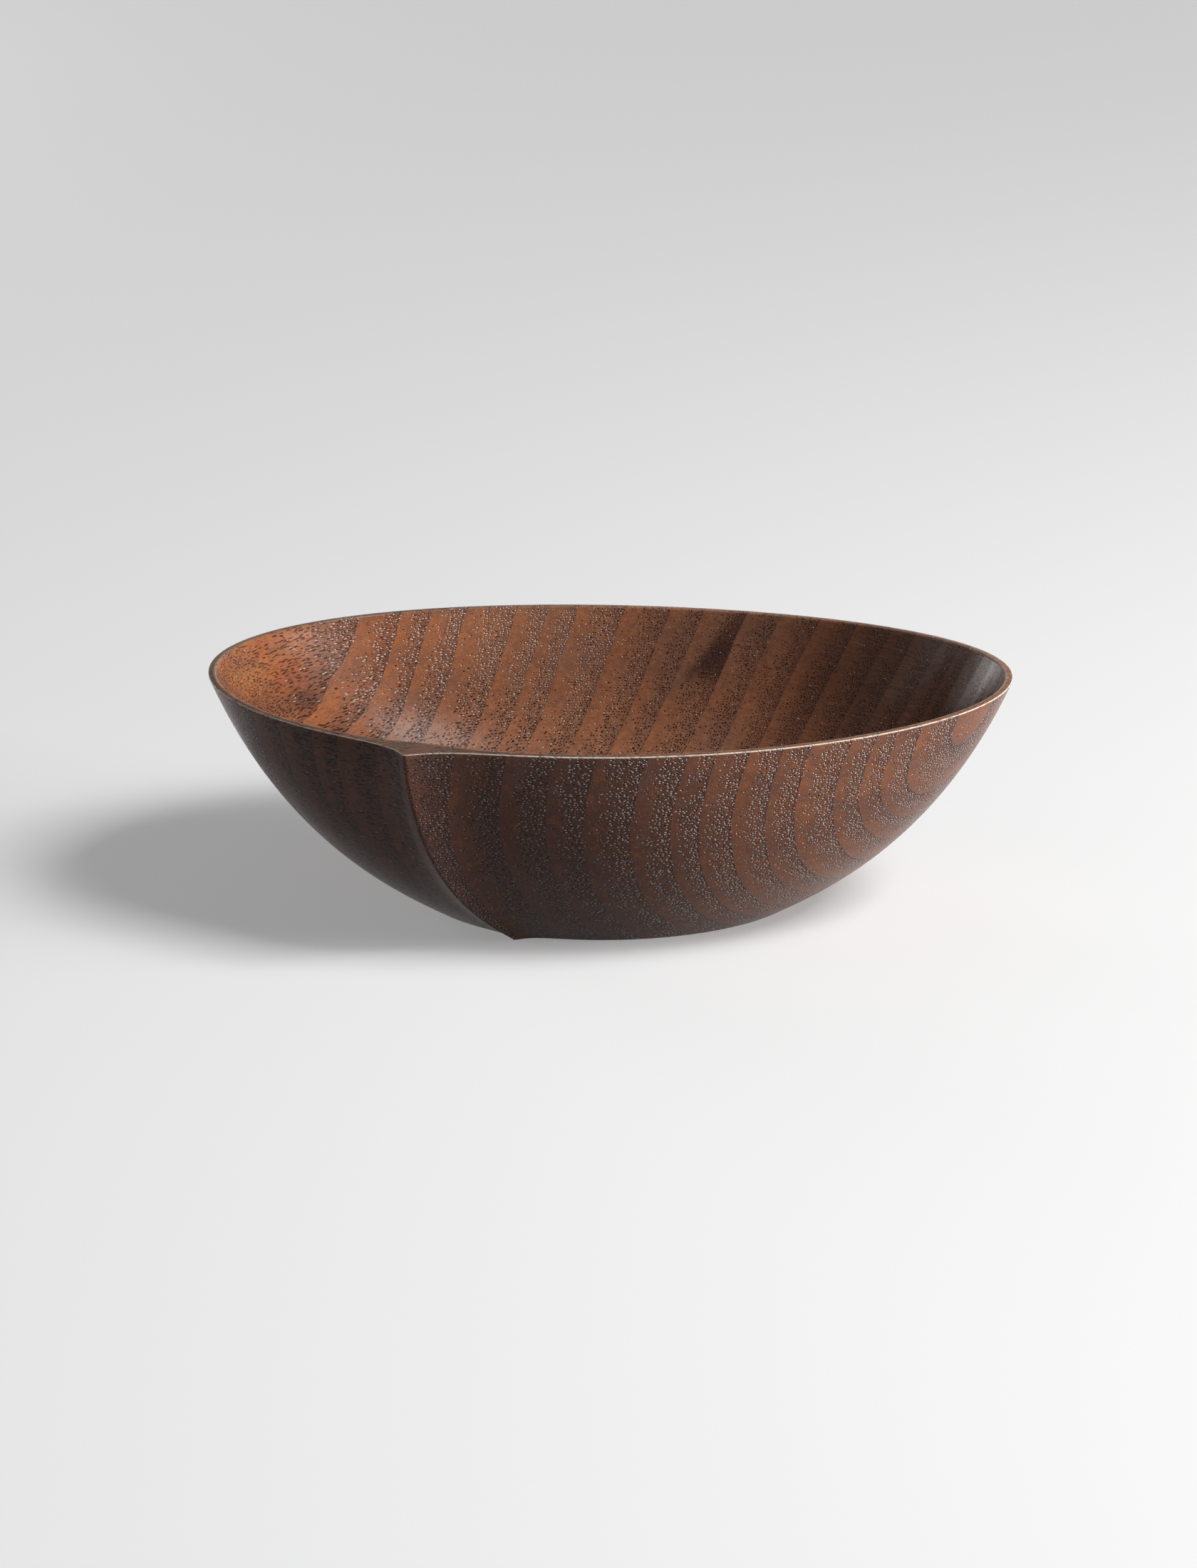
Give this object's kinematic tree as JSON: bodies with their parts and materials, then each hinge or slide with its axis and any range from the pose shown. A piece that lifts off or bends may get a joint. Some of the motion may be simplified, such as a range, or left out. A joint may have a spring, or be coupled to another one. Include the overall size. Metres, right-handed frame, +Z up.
{
  "type": "wooden bowl",
  "caption": "Oval boat-shaped bowl carved from one block of walnut, with a thin rim, a flat underside and a sharp keel down its front.",
  "frame": {"origin": "on the ground under the middle of the bowl: the middle of its box in X and Y, and its flat underside in Z", "axes": "+X along the bowl towards its narrower tip, +Y towards its smooth back, away from the keel, +Z up out of the hollow"},
  "size_m": [0.16, 0.0999, 0.0465],
  "materials": {
    "walnut": "oiled walnut with open pores, satin"
  },
  "bodies": {
    "root": {"bowl": "walnut"}
  },
  "joints": []
}
